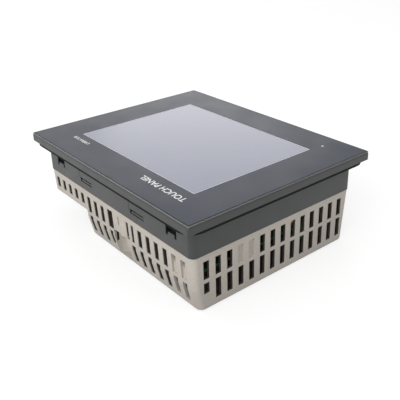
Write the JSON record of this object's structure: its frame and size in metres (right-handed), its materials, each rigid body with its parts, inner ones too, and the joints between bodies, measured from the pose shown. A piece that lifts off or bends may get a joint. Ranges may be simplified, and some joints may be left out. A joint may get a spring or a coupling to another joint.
{
  "type": "hmi touch panel",
  "caption": "Flush-mount operator touch panel with a gasketed front flange, clamp notches in a dark skirt and a vented rear cover that is shallow on one side and deep on the other.",
  "frame": {"origin": "under the centre of the flange, on the plane of the rear face, with the panel lying on its back", "axes": "+Z out of the display, +Y towards the panel's top edge, +X to the reader's right"},
  "size_m": [0.1694, 0.137, 0.0595],
  "materials": {
    "bezel": "fine satin, dark grey glass-filled plastic",
    "sheet": "printed polyester, slight grain, satin",
    "film": "clear hard-coated film over a dark display",
    "glass": "clear, polished",
    "gasket": "soft, matte",
    "cover": "fine spark texture, warm light grey",
    "steel": "zinc plated",
    "board": "solder mask, semi-gloss",
    "chip": "moulded epoxy",
    "black_plastic": "moulded, satin",
    "pale_plastic": "moulded, satin",
    "green_plastic": "moulded, satin",
    "red_plastic": "moulded, satin",
    "card_plastic": "moulded, satin",
    "aluminium": "extruded, plain",
    "contact": "gold plated",
    "nickel": "nickel plated, bright",
    "sleeve": "shrink sleeve",
    "flex": "polyimide film",
    "lamp": "clear light pipe",
    "foam": "closed-cell foam",
    "label": "printed polyester label"
  },
  "bodies": {
    "housing": {"front_bezel": "bezel", "front_sheet": "sheet", "touch_film": "film", "touch_glass": "glass", "touch_tail": "flex", "touch_foam": "foam", "lcd_frame": "steel", "lcd_glass": "glass", "lcd_backlight": "pale_plastic", "lcd_flex": "flex", "lamp_lens": "lamp", "lamp_led": "lamp", "panel_gasket": "gasket", "chassis_plate": "steel", "chassis_screws": "steel", "board_spacers": "contact", "main_board": "board", "board_screws": "steel", "processor": "chip", "heat_sink": "aluminium", "memory_chips": "chip", "main_capacitors": "sleeve", "battery_holder": "black_plastic", "backup_battery": "nickel", "touch_connector": "pale_plastic", "lcd_connector": "pale_plastic", "board_link": "black_plastic", "board_posts": "contact", "post_screws": "steel", "interface_board": "board", "power_transformer": "chip", "power_capacitors": "sleeve", "power_socket": "green_plastic", "power_pins": "contact", "serial_shell": "nickel", "serial_insulator": "black_plastic", "serial_pins": "contact", "serial_nuts": "nickel", "serial_jack": "black_plastic", "serial_jack_contacts": "contact", "network_jack": "nickel", "network_jack_contacts": "contact", "network_lamps": "lamp", "usb_host_port": "nickel", "usb_host_tongue": "pale_plastic", "usb_device_port": "nickel", "usb_device_tongue": "black_plastic", "card_socket": "nickel", "mode_switch": "red_plastic", "door_pin": "steel", "rear_cover": "cover", "cover_screws": "steel", "rating_plate": "label"},
    "plug": {"power_plug": "green_plastic", "terminal_screws": "steel"},
    "card": {"memory_card": "card_plastic"},
    "door": {"card_door": "cover"},
    "switch_1": {"mode_slider_1": "pale_plastic"},
    "switch_2": {"mode_slider_2": "pale_plastic"}
  },
  "joints": [
    {"name": "power_plug_slide", "type": "slide", "parent": "housing", "child": "plug", "axis": [0, -1, 0], "range_m": [0, 0.012]},
    {"name": "card_push", "type": "slide", "parent": "housing", "child": "card", "axis": [1, 0, 0], "range_m": [-0.001, 0], "stiffness_N_per_m": 150},
    {"name": "card_door_hinge", "type": "hinge", "parent": "housing", "child": "door", "pos_m": [0.0346, 0.02, 0.003], "axis": [0, 1, 0], "range_deg": [0, 90]},
    {"name": "mode_slider_1_slide", "type": "slide", "parent": "housing", "child": "switch_1", "axis": [0, 0, 1], "range_m": [0, 0.002]},
    {"name": "mode_slider_2_slide", "type": "slide", "parent": "housing", "child": "switch_2", "axis": [0, 0, 1], "range_m": [0, 0.002]}
  ]
}
